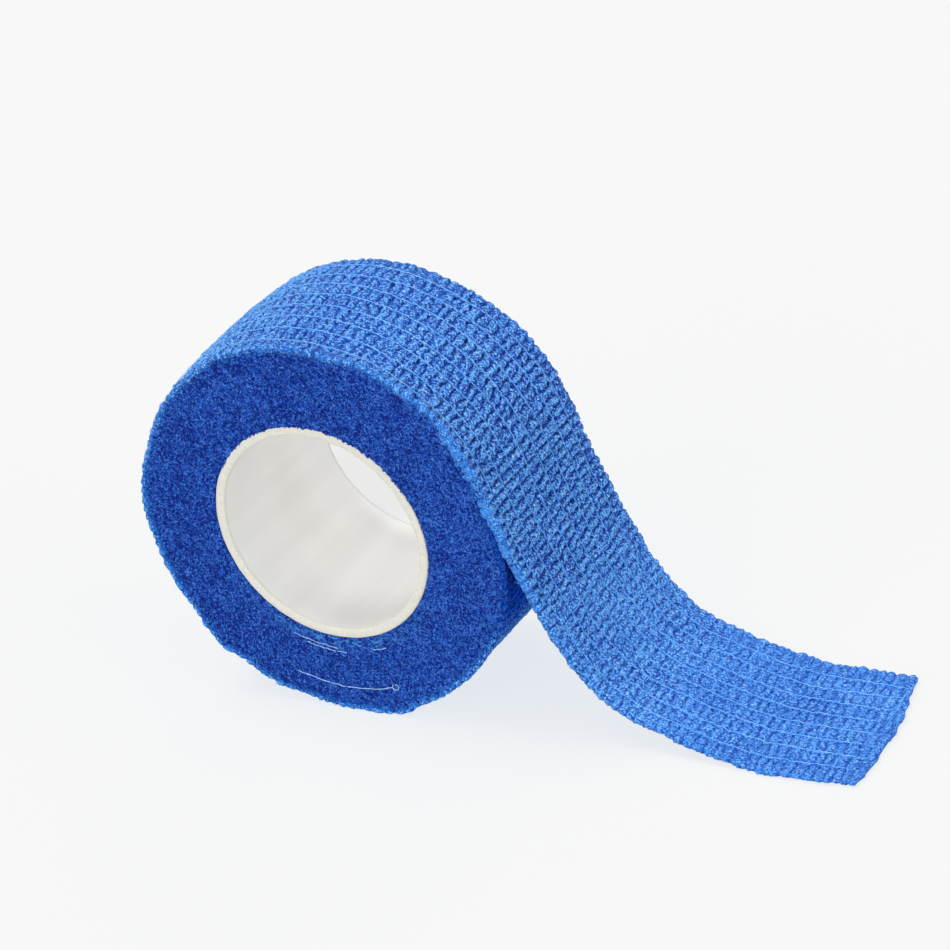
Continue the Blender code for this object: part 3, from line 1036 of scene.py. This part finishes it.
class RollSide:
    """One side face of the wound turns: a ring from the core out to the edge of the outermost turn."""

    def __init__(self, shape, sign, across):
        self.shape, self.sign = shape, sign
        route = Route(shape)
        self.around = np.linspace(0, math.tau, 720, endpoint=False)[:, None]
        degrees = np.degrees(self.around)
        turned = (self.around - shape.leaving_angle) % math.tau
        lap = shape.closing_step * (1 - smooth_step(turned / shape.lap_angle)) * (turned < shape.lap_angle)
        under_cloth = 0.55 * MM
        self.wall = route.radius - under_cloth - drawn_in(turned, shape) - lap
        arc = self.around * ROLL_RADIUS / MM
        ragged_rim = 0.12 * noise(arc / 1.1, sign, 62) + 0.09 * noise(arc / 0.5, sign, 63)
        self.outer = self.wall + (0.25 + ragged_rim) * MM
        self.whole_turn = np.where(degrees < math.degrees(shape.leaving_angle), degrees + 360, degrees)
        if sign < 0:
            self.outer = self.outer + route.near_rim(self.whole_turn)
        else:
            self.outer = self.outer + shape.far_rim
        covered = smooth_step((degrees - 22) / 10) * smooth_step((154 - degrees) / 10)
        ragged = noise(np.cos(self.around) * 30, np.sin(self.around) * 30, 60)
        self.inner = CORE_RADIUS + MM * (0.04 - 0.24 * covered + 0.05 * ragged)
        self.share_out = np.linspace(0, 1, across)[None, :]
        self.radius = self.inner + (self.outer - self.inner) * self.share_out

    def relief(self, radius, around):
        felt = face_relief(radius, around, 61 if self.sign < 0 else 71, self.shape)
        x, z = radius * np.cos(around) / MM, radius * np.sin(around) / MM
        lumps = np.abs(noise(x / 0.85, z / 0.85, 68 + self.sign)) - 0.3
        return felt + 0.45 * MM * lumps * smooth_step((radius - ROLL_RADIUS + 2.6 * MM) / (2 * MM))

    def stand_out(self, radius, around, share_out):
        """How far the face stands out from the middle of the width."""
        tucked = 0.12 * MM * np.clip(1 - share_out / 0.03, 0, 1)
        rounded = 0.25 * MM * np.clip((share_out - 0.95) / 0.05, 0, 1) ** 2
        squashed = 0.55 * MM * hump(np.degrees(around), 275, 35) * share_out**2 * (self.sign < 0)
        return HALF_WIDTH - 0.22 * MM + self.relief(radius, around) - tucked - rounded + squashed

    def lattice(self):
        out = self.stand_out(self.radius, self.around, self.share_out)
        relief = self.relief(self.radius, self.around)
        # lift and ridge paint light on the tufts and shade in the hollows of the face.
        lift = np.clip(relief / (0.45 * MM), 0, 1)
        ridge = ridges_and_hollows(relief, 2, 0.30 * MM)
        # Painted highlight along the outer rim of the face.
        rim_highlight = smooth_step((self.radius - self.outer + 1.1 * MM) / (1.0 * MM))
        rim_highlight = rim_highlight * looked_up(self.whole_turn, SIDE_RIM_HIGHLIGHT)
        patchy = np.clip(0.45 + 1.1 * noise(self.around * 28, self.radius / (0.7 * MM), 83), 0, 1)
        # Painted highlights: pale arcs of turn edges by the core, low on the near face, where they catch
        # the light.
        near_core = hump(self.radius, CORE_RADIUS + 0.9 * MM, 0.9 * MM)
        near_core = near_core * hump(np.degrees(self.around), 275, 42) * (self.sign < 0)
        speck = noise(self.radius / (0.26 * MM), self.around * self.radius / (0.9 * MM), 81)
        core_fringe_highlight = np.clip(0.9 * near_core * np.clip(speck * 2 - 0.2, 0, 1), 0, 0.6)
        points = round_axis(self.radius, self.around, self.sign * out)
        return points, lift, ridge, rim_highlight * patchy, core_fringe_highlight


class BANDAGE_OT_wound_turns(bpy.types.Operator):
    """Adds the wound turns: a ring whose side faces show the edge of every turn"""

    bl_idname = "bandage.wound_turns"
    bl_label = "Wound Turns"

    def execute(self, context):
        shape, _, colours = settings()
        near, far = RollSide(shape, -1, 66), RollSide(shape, 1, 58)
        around = near.around
        near_parts, far_parts = near.lattice(), far.lattice()
        wall_y = HALF_WIDTH * np.array([[-0.955, -0.5, 0.5, 0.955]])
        outer_wall = round_axis(near.wall, around, wall_y)
        bore_wall = round_axis(CORE_RADIUS + 0.06 * MM, around, wall_y[:, 2:0:-1])
        points = np.concatenate([near_parts[0], outer_wall, far_parts[0][:, ::-1], bore_wall], axis=1)
        points = rest_on_floor(points)

        def loop(near_values, far_values, wall=0.0):
            """Values round the ring's outline: near face, outer wall, far face and bore wall."""
            outside, inside = np.full((len(around), 4), wall), np.full((len(around), 2), wall)
            return np.concatenate([near_values, outside, far_values[:, ::-1], inside], axis=1)

        # The walls take a middling lift and ridge, so that the gap between the face and the lip is painted
        # lighter than its shade.
        walls = {"lift": 0.6, "ridge": 0.7, "rim": 0.0, "core_fringe_highlight": 0.0}
        attributes = [
            (label, loop(near_parts[index], far_parts[index], wall))
            for index, (label, wall) in enumerate(walls.items(), 1)
        ]
        attributes.append(("fuzz", loop(np.ones_like(near_parts[1]), np.ones_like(far_parts[1]))))
        faces = lattice_faces(len(around), points.shape[1], wrap_rows=True)
        piece = new_piece("wound_turns", points, faces, wound_edge(colours), attributes)
        placed(piece, "bandage", "wound_roll")
        return {"FINISHED"}


def cloth_piece(name, rows, columns, stride, pressed, shaded=False):
    """A closed piece of the crinkled strip, with the attributes that its material and its fuzz read."""
    shape, cloth, colours = settings()
    route = Route(shape)
    crinkles = Crinkles(cloth, route)
    points, height, ridge, along, across, openness = strip_lattice(
        route, crinkles, rows, columns, stride, pressed
    )
    points = rest_on_floor(points)
    # lift, ridge and crisp drive the painted light and shade of the cloth's material.
    lift = np.clip(0.5 + height / (0.9 * MM), 0, 1)
    around = route.degrees(along)
    # Painted highlight: patchy along the near rim, fainter along the far rim.
    patchy = np.clip(0.72 + 1.0 * noise(along / (0.9 * MM), across / (0.7 * MM), 84), 0, 1)
    strength = looked_up(around, RIM_HIGHLIGHT) * looked_up(along / MM, RIM_HIGHLIGHT_FADE)
    hemmed = route.hem_depth(along) / shape.hem
    band = (0.4 + 0.45 * hemmed) * MM
    near_rim = np.exp(-((np.maximum(across + HALF_WIDTH, 0) / band) ** 2)) * strength * patchy
    far_rim = np.exp(-np.maximum(HALF_WIDTH - across, 0) / (0.4 * MM)) * 0.3
    # Painted shade on the roll's cloth that the loose end shades.
    under = smooth_step((around - 318) / 25)
    # Painted light and shade by place, and the loose end's lighter tone.
    tone_and_painted_light = route.by_place(along, TONE_AND_LIGHT_ROUND, TONE_AND_LIGHT_ALONG)
    shaggy = 1 + 3 * hump(across, -HALF_WIDTH, 0.9 * MM)
    fuzz = openness * (points[..., 2] > 0.6 * MM) * (1 - under) * shaggy
    count, loop_length = points.shape[:2]
    caps = strip_caps(count, columns, stride, loop_length)
    faces = lattice_faces(count, loop_length) + caps
    coordinates = np.stack([along, across], -1) / (2 * HALF_WIDTH)
    # shaded_cloth is a shaded copy of the cloth, without its sheen and gloss, for the lower turn, which
    # lies mostly in shade.
    look, shine = ("shaded_cloth", 0.0) if shaded else ("crinkled_cloth", 1.0)
    material = bpy.data.materials.get(look) or crinkled_cloth(colours, look, shine)
    crisp = route.by_place(along, CRISP_ROUND, CRISP_ALONG)
    tints = [("rim", near_rim + far_rim), ("crisp", crisp), ("tone_and_painted_light", tone_and_painted_light), ("under", under)]
    attributes = [("lift", lift), ("ridge", ridge), ("fuzz", fuzz), *tints]
    return new_piece(name, points, faces, material, attributes, coordinates, caps=len(caps))


class BANDAGE_OT_outer_turn(bpy.types.Operator):
    """Adds the outermost turn in an upper and a lower half; it ends under the loose end"""

    bl_idname = "bandage.outer_turn"
    bl_label = "Outer Turn"

    def execute(self, context):
        shape = context.scene.bandage_shape
        route = Route(shape)
        start = -(math.tau + shape.lap_angle) * route.radius
        middle = -math.radians(150) * route.radius
        overlap = 0.3 * MM
        spans = {
            "outer_turn_upper": (middle, 0, 450, 169),
            "outer_turn_lower": (start, middle + overlap, 470, 105),
        }

        def pressed(along):
            return np.ones_like(along)

        for name, (first, last, count, columns) in spans.items():

            def rows(across, first=first, last=last, count=count):
                return np.linspace(first, last, count)[:, None] + 0 * across[None, :]

            # The lower half gets shaded_cloth, the shaded copy without sheen or gloss.
            piece = cloth_piece(name, rows, columns, 8, pressed, shaded=name == "outer_turn_lower")
            placed(piece, "bandage")
        return {"FINISHED"}


class BANDAGE_OT_loose_end(bpy.types.Operator):
    """Adds the loose end, which curves down off the roll and lies flat to its cut"""

    bl_idname = "bandage.loose_end"
    bl_label = "Loose End"

    def execute(self, context):
        shape, cloth, _ = settings()
        route = Route(shape)
        crinkles = Crinkles(cloth, route)
        end = route.length_at(shape.end_x)
        count = 440

        def rows(across):
            y = (across - 0.5) * 2 * HALF_WIDTH
            bulge = shape.end_bulge * (1 - (np.abs(y + 1.5 * MM) / HALF_WIDTH) ** 2.2)
            last = end - y * math.tan(shape.end_slant) + bulge - crinkles.end_pull(y)
            steps = np.linspace(0, 1, count)[:, None]
            return steps * end + (last - end)[None, :] * smooth_step((steps - 0.8) / 0.2)

        def pressed(along):
            return np.exp(-np.maximum(along, 0) / (1.5 * MM))

        piece = cloth_piece("loose_end_cloth", rows, 165, 4, pressed)
        placed(piece, "bandage", "loose_end")
        return {"FINISHED"}


# ---------------------------------------------------------------- what repeats, as Geometry Nodes


class Tree:
    """Builds a Geometry Nodes tree with named inputs, and runs it on an object."""

    def __init__(self, name):
        old = bpy.data.node_groups.get(name)
        if old:
            bpy.data.node_groups.remove(old)
        self.group = bpy.data.node_groups.new(name, "GeometryNodeTree")
        self.group.interface.new_socket("Geometry", in_out="INPUT", socket_type="NodeSocketGeometry")
        self.group.interface.new_socket("Geometry", in_out="OUTPUT", socket_type="NodeSocketGeometry")
        self.start = self.group.nodes.new("NodeGroupInput")
        self.end = self.group.nodes.new("NodeGroupOutput")
        self.values = {}

    def input(self, label, kind, value):
        """A named input with its value; returns the socket to link from."""
        socket = self.group.interface.new_socket(label, in_out="INPUT", socket_type=kind)
        self.values[socket.identifier] = value
        return self.start.outputs[label]

    def node(self, kind, links=(), **values):
        node = self.group.nodes.new(kind)
        for label, value in values.items():
            setattr(node, label, value)
        for socket, value in links:
            feed(self.group, node.inputs[socket], value)
        return node

    def tube(self, curve, radius, sides):
        """Turns a curve into round threads."""
        circle = self.node("GeometryNodeCurvePrimitiveCircle", [("Resolution", sides), ("Radius", radius)])
        links = [("Curve", curve), ("Profile Curve", circle.outputs[0]), ("Fill Caps", True)]
        return self.node("GeometryNodeCurveToMesh", links).outputs[0]

    def finish(self, geometry, material):
        """Ends the tree with Realize Instances and Set Material."""
        real = self.node("GeometryNodeRealizeInstances", [("Geometry", geometry)])
        links = [("Geometry", real.outputs[0]), ("Shade Smooth", True)]
        smooth = self.node("GeometryNodeSetShadeSmooth", links)
        links = [("Geometry", smooth.outputs[0]), ("Material", material)]
        painted = self.node("GeometryNodeSetMaterial", links)
        self.group.links.new(painted.outputs[0], self.end.inputs[0])

    def made_mesh(self, guide):
        """The tree's result on a guide object as a plain mesh. The guide is removed."""
        modifier = guide.modifiers.new(self.group.name, "NODES")
        modifier.node_group = self.group
        for identifier, value in self.values.items():
            modifier[identifier] = value
        evaluated = guide.evaluated_get(bpy.context.evaluated_depsgraph_get())
        mesh = bpy.data.meshes.new_from_object(evaluated)
        guide.modifiers.remove(modifier)
        bpy.data.objects.remove(guide, do_unlink=True)
        return mesh


def add_mesh_piece(name, mesh):
    mesh.name = name
    return linked_object(name, mesh)


def thread_tree(radius, material):
    """Turns a net of guide edges into round threads."""
    tree = Tree("elastic_threads")
    thickness = tree.input("Thread radius", "NodeSocketFloat", radius)
    paint = tree.input("Material", "NodeSocketMaterial", material)
    curve = tree.node("GeometryNodeMeshToCurve", [("Mesh", tree.start.outputs[0])])
    tree.finish(tree.tube(curve.outputs[0], thickness, 6), paint)
    return tree


def guide_object(name, lines, paleness=None):
    """A mesh of open chains of edges, one for each line of points, with how pale each point is."""
    points, edges = [], []
    for line in lines:
        first = len(points)
        points.extend(line.tolist())
        edges.extend((first + step, first + step + 1) for step in range(len(line) - 1))
    mesh = bpy.data.meshes.new(name)
    mesh.from_pydata(points, edges, [])
    layer = mesh.attributes.new("pale", "FLOAT", "POINT")
    pale = np.ones(len(points)) if paleness is None else np.concatenate(paleness)
    layer.data.foreach_set("value", pale.astype(np.float32))
    return linked_object(name, mesh)


def thread_paths(route, crinkles, start, end, step, side):
    """Paths of the elastic threads on the upper or the lower side of the cloth, and how pale they are."""
    paths, paleness = [], []
    half_sheet = crinkles.cloth.sheet / 2
    for index in range(THREADS):
        last = end - 0.6 * MM - 0.5 * MM * hashed(index, 0, 91)
        along = np.arange(start, last, step)
        y = crinkles.thread_line(along, index)
        level = crinkles.level_of_thread(along, index)
        total = level + side * (half_sheet + 0.02 * MM) + route.body(along, y)
        paths.append(rest_on_floor(route.points_at(along, y, total)))
        strength = route.by_place(along, THREAD_ROUND, THREAD_ALONG)
        dashes = 0.7 + 1.4 * noise(along / (0.8 * MM), index * 5.3 + 0.5, crinkles.seed + 61)
        paleness.append(np.clip(strength * dashes, 0, 1))
    return paths, paleness


class BANDAGE_OT_threads(bpy.types.Operator):
    """Adds the elastic threads that run along the cloth"""

    bl_idname = "bandage.threads"
    bl_label = "Elastic Threads"

    def execute(self, context):
        shape, cloth, colours = settings()
        route = Route(shape)
        crinkles = Crinkles(cloth, route)
        material = filament("elastic_thread", colours.thread, colours.crest)
        end = route.length_at(shape.end_x)
        start = -(math.tau - math.radians(75)) * route.radius
        step = 0.32 * MM
        spans = {
            "threads_on_roll": (start, 0.9 * MM, 1),
            "threads_on_end": (0, end, 1),
            "threads_under_end": (1.5 * MM, end, -1),
        }
        for name, (first, last, side) in spans.items():
            paths, paleness = thread_paths(route, crinkles, first, last, step, side)
            tree = thread_tree(cloth.thread_radius, material)
            piece = add_mesh_piece(name, tree.made_mesh(guide_object(name, paths, paleness)))
            placed(piece, "bandage")
        return {"FINISHED"}


def fuzz_tree(material, density, seed, size, bow):
    """Scatters short bowed fibres that lie on a surface, where its fuzz attribute lets them."""
    tree = Tree("fibre_fuzz")
    inputs = {
        "Density": ("NodeSocketFloat", density),
        "Seed": ("NodeSocketInt", seed),
        "Fibre length": ("NodeSocketFloat", size),
        "Fibre radius": ("NodeSocketFloat", 0.017 * MM),
        "Bow": ("NodeSocketFloat", bow),
        "Material": ("NodeSocketMaterial", material),
    }
    socket = {label: tree.input(label, *given) for label, given in inputs.items()}
    fuzz = tree.node("GeometryNodeInputNamedAttribute", [("Name", "fuzz")], data_type="FLOAT")


    def times(first, second):
        return tree.node("ShaderNodeMath", [(0, first), (1, second)], operation="MULTIPLY").outputs[0]

    def vector(*parts):
        return tree.node("ShaderNodeCombineXYZ", parts).outputs[0]

    amount = times(socket["Density"], fuzz.outputs[0])
    points = tree.node(
        "GeometryNodeDistributePointsOnFaces",
        [("Mesh", tree.start.outputs[0]), ("Density", amount), ("Seed", socket["Seed"])],
    )
    half, back = (times(socket["Fibre length"], share) for share in (0.5, -0.5))
    sunk = (2, -0.03 * MM)
    ends = [("Start", vector((0, back), sunk)), ("End", vector((0, half), sunk))]
    middle = vector((1, half), (2, socket["Bow"]))
    bend = tree.node("GeometryNodeCurveQuadraticBezier", [("Resolution", 4), ("Middle", middle), *ends])
    fibre = tree.tube(bend.outputs[0], socket["Fibre radius"], 3)
    spin = tree.node(
        "FunctionNodeRandomValue",
        [(0, (-0.35, -0.35, 0.0)), (1, (0.35, 0.35, math.tau)), ("Seed", socket["Seed"])],
        data_type="FLOAT_VECTOR",
    )
    turned = tree.node(
        "FunctionNodeRotateEuler",
        [("Rotation", points.outputs["Rotation"]), ("Rotate By", spin.outputs[0])],
        rotation_type="EULER",
        space="LOCAL",
    )
    sizes = [(2, 0.5), (3, 1.5), ("Seed", socket["Seed"])]
    grow = tree.node("FunctionNodeRandomValue", sizes, data_type="FLOAT")
    placed_fibres = tree.node(
        "GeometryNodeInstanceOnPoints",
        [
            ("Points", points.outputs["Points"]),
            ("Instance", fibre),
            ("Rotation", turned.outputs[0]),
            ("Scale", grow.outputs[1]),
        ],
    )
    tree.finish(placed_fibres.outputs[0], socket["Material"])
    return tree


class BANDAGE_OT_fuzz(bpy.types.Operator):
    """Adds the short fibres that stand off the wound edges and the cloth"""

    bl_idname = "bandage.fuzz"
    bl_label = "Fibre Fuzz"

    def execute(self, context):
        colours = context.scene.bandage_colours
        side = (filament("side_fibre", colours.rim), 0.5e6, 0.5 * MM, 0.18 * MM)
        top = (filament("cloth_fibre", colours.crest), 0.3e6, 0.7 * MM, 0.3 * MM)
        for name, under, seed, (material, density, size, bow) in (
            ("fuzz_on_sides", "wound_turns", 5, side),
            ("fuzz_on_upper_turn", "outer_turn_upper", 6, top),
            ("fuzz_on_lower_turn", "outer_turn_lower", 8, top),
            ("fuzz_on_end", "loose_end_cloth", 7, top),
        ):
            guide = linked_object(name, bpy.data.objects[under].data.copy())
            tree = fuzz_tree(material, density, seed, size, bow)
            piece = add_mesh_piece(name, tree.made_mesh(guide))
            placed(piece, "bandage")
        return {"FINISHED"}


def side_line(shape, start_degrees, end_degrees, radius_start, radius_end, count, seed):
    """A wavy line that lies on the near side face, between two angles round the axis."""
    side = RollSide(shape, -1, 2)
    share_along = np.linspace(0, 1, count)
    around = np.radians(start_degrees + (end_degrees - start_degrees) * share_along)
    radius = radius_start + (radius_end - radius_start) * share_along
    wave = noise(share_along * 9, 0.5, seed)
    ripple = noise(share_along * 31, 0.5, seed + 1)
    radius = radius + (0.10 * wave + 0.05 * ripple) * MM
    share_out = (radius - CORE_RADIUS) / (ROLL_RADIUS - CORE_RADIUS)
    out = side.stand_out(radius, around, share_out)
    out = np.convolve(np.pad(out, 3, mode="edge"), np.full(7, 1 / 7), mode="valid") + 0.08 * MM
    return round_axis(radius, around, -out)


class BANDAGE_OT_strays(bpy.types.Operator):
    """Adds the stray filaments on the near side face, one of which ends in a small loop"""

    bl_idname = "bandage.strays"
    bl_label = "Stray Filaments"

    def execute(self, context):
        shape, _, colours = settings()
        long = side_line(shape, 251, 287.2, 22.2 * MM, 22.5 * MM, 60, 101)
        loop_radius = 0.42 * MM
        turn = np.linspace(math.pi, 3.3 * math.pi, 26)
        ahead = long[-1] - long[-2]
        ahead /= np.linalg.norm(ahead)
        beside = np.cross(ahead, [0, 1, 0])
        centre = long[-1] + ahead * loop_radius
        ring = [centre + loop_radius * (math.cos(t) * ahead + math.sin(t) * beside) for t in turn]
        rise = np.linspace(0, -0.09 * MM, len(ring))[:, None] * np.array([0, 1, 0])
        with_loop = np.concatenate([long, (np.array(ring) + rise)[1:]])
        short = side_line(shape, 253, 272, 17.2 * MM, 17.3 * MM, 36, 111)
        beside_short = side_line(shape, 246, 268, 16.75 * MM, 16.85 * MM, 40, 131)
        dash = side_line(shape, 286, 293, 16.9 * MM, 17.1 * MM, 16, 121)
        for name, lines, radius in (
            ("stray_with_loop", [with_loop], 0.058 * MM),
            ("stray_short", [short, beside_short, dash], 0.045 * MM),
        ):
            tree = thread_tree(radius, filament(name, colours.stray))
            piece = add_mesh_piece(name, tree.made_mesh(guide_object(name, lines)))
            placed(piece, "bandage")
        return {"FINISHED"}


# ---------------------------------------------------------------- the stage


def add_sun(name, direction, strength, tint, spread):
    """A sun that shines from a direction. spread is its width in degrees: a wide one is softer."""
    light = bpy.data.lights.new(name, "SUN")
    light.energy = strength
    light.color = tint
    light.angle = math.radians(spread)
    sun = linked_object(name, light)
    sun.rotation_mode = "QUATERNION"
    sun.rotation_quaternion = (-Vector(direction)).to_track_quat("-Z", "Y")


def add_camera():
    """The photograph's viewpoint: azimuth, elevation, a small roll and a long lens."""
    azimuth, elevation, roll = (math.radians(degrees) for degrees in (32.552, 28.218, -9.854))
    place = Vector((0.274636, -0.405, 0.286945))
    picture_width, focal_pixels, sensor = 950, 4371.4, 36
    flat = math.cos(elevation)
    back = Vector((math.sin(azimuth) * flat, -math.cos(azimuth) * flat, math.sin(elevation)))
    level = Vector((math.cos(azimuth), math.sin(azimuth), 0))
    upward = back.cross(level)
    right = level * math.cos(roll) + upward * math.sin(roll)
    up = upward * math.cos(roll) - level * math.sin(roll)
    data = bpy.data.cameras.new("camera")
    data.sensor_width = sensor
    data.lens = focal_pixels / picture_width * sensor
    data.clip_start = 0.01
    data.clip_end = 50
    camera = linked_object("camera", data)
    camera.matrix_world = Matrix.Translation(place) @ Matrix((right, up, back)).transposed().to_4x4()
    bpy.context.scene.camera = camera


class BANDAGE_OT_stage(bpy.types.Operator):
    """Adds the floor, the soft light and the camera"""

    bl_idname = "bandage.stage"
    bl_label = "Stage"

    def execute(self, context):
        colours = context.scene.bandage_colours
        reach = 4.0
        corners = reach * np.array([(-1, -1, 0), (1, -1, 0), (1, 1, 0), (-1, 1, 0)])
        floor = new_piece("floor", corners, [[0, 1, 2, 3]], plain_floor(colours))
        world = bpy.data.worlds.new("soft_sky")
        world.use_nodes = True
        sky = world.node_tree.nodes["Background"]
        sky.inputs["Color"].default_value = (0.97, 0.985, 1.0, 1)
        sky.inputs["Strength"].default_value = 0.85
        context.scene.world = world
        for sun in (
            ("key", (-0.38, 0.04, 0.91), 1.9, (1.0, 0.98, 0.95), 18),
            ("fill", (-0.25, -0.90, 0.36), 1.45, (0.98, 0.99, 1.0), 50),
            ("side", (0.95, -0.06, 0.28), 1.5, (0.86, 0.95, 1.0), 45),
            ("back", (-0.15, 0.75, 0.65), 0.25, (0.98, 0.99, 1.0), 15),
        ):
            add_sun(*sun)
        context.scene.view_settings.view_transform = "Standard"
        add_camera()
        return {"FINISHED"}


class BANDAGE_PT_panel(bpy.types.Panel):
    """Lists the pieces and their sizes and colours"""

    bl_idname = "BANDAGE_PT_panel"
    bl_label = "Cohesive Bandage Roll"
    bl_space_type = "VIEW_3D"
    bl_region_type = "UI"
    bl_category = "Bandage"

    def draw(self, context):
        layout = self.layout
        for operator in OPERATORS:
            layout.operator(operator.bl_idname)
        for name in GROUPS:
            group = getattr(context.scene, name)
            box = layout.box()
            for label in group.__annotations__:
                box.prop(group, label)


GROUPS = {"bandage_shape": RollShape, "bandage_cloth": ClothShape, "bandage_colours": RollColours}
OPERATORS = (
    BANDAGE_OT_core,
    BANDAGE_OT_wound_turns,
    BANDAGE_OT_outer_turn,
    BANDAGE_OT_loose_end,
    BANDAGE_OT_threads,
    BANDAGE_OT_fuzz,
    BANDAGE_OT_strays,
    BANDAGE_OT_stage,
)


def register():
    for name, group in GROUPS.items():
        bpy.utils.register_class(group)
        setattr(bpy.types.Scene, name, PointerProperty(type=group))
    for operator in OPERATORS:
        bpy.utils.register_class(operator)
    bpy.utils.register_class(BANDAGE_PT_panel)


def unregister():
    bpy.utils.unregister_class(BANDAGE_PT_panel)
    for operator in reversed(OPERATORS):
        bpy.utils.unregister_class(operator)
    for name, group in GROUPS.items():
        delattr(bpy.types.Scene, name)
        bpy.utils.unregister_class(group)


def main():
    register()
    bpy.ops.bandage.core()
    bpy.ops.bandage.wound_turns()
    bpy.ops.bandage.outer_turn()
    bpy.ops.bandage.loose_end()
    bpy.ops.bandage.threads()
    bpy.ops.bandage.fuzz()
    bpy.ops.bandage.strays()
    bpy.ops.bandage.stage()


if __name__ == "__main__":
    main()
